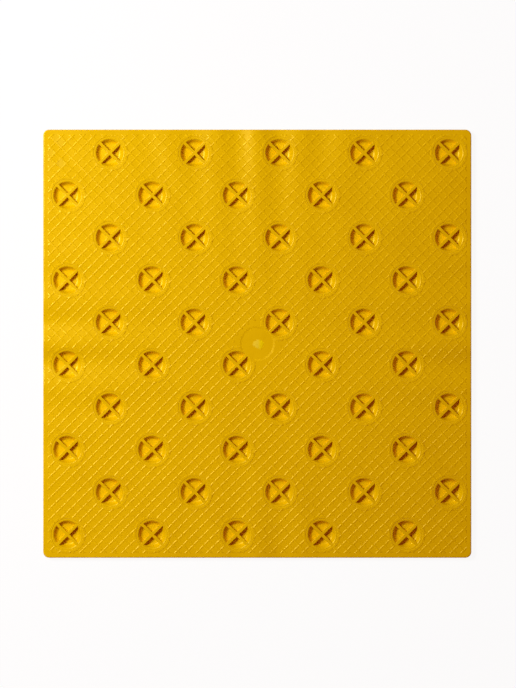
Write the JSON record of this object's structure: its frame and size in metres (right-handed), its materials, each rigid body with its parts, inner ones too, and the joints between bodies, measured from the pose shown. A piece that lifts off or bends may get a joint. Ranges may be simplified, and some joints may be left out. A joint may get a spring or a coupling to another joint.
{
  "type": "tactile paving tile",
  "caption": "Square tactile paving tile moulded in yellow polymer, with staggered hollow studs, crossed ribs in each stud's hollow and a flat back that is glued to the pavement.",
  "frame": {"origin": "middle of the square, in the plane of the stud tops that it lies on", "axes": "+Z out of the bonding face, X and Y along the sides; +Y is up and +X right in the picture"},
  "size_m": [0.5, 0.5, 0.008],
  "materials": {
    "yellow_polymer": "satin"
  },
  "bodies": {
    "root": {"tactile_tile": "yellow_polymer"}
  },
  "joints": []
}
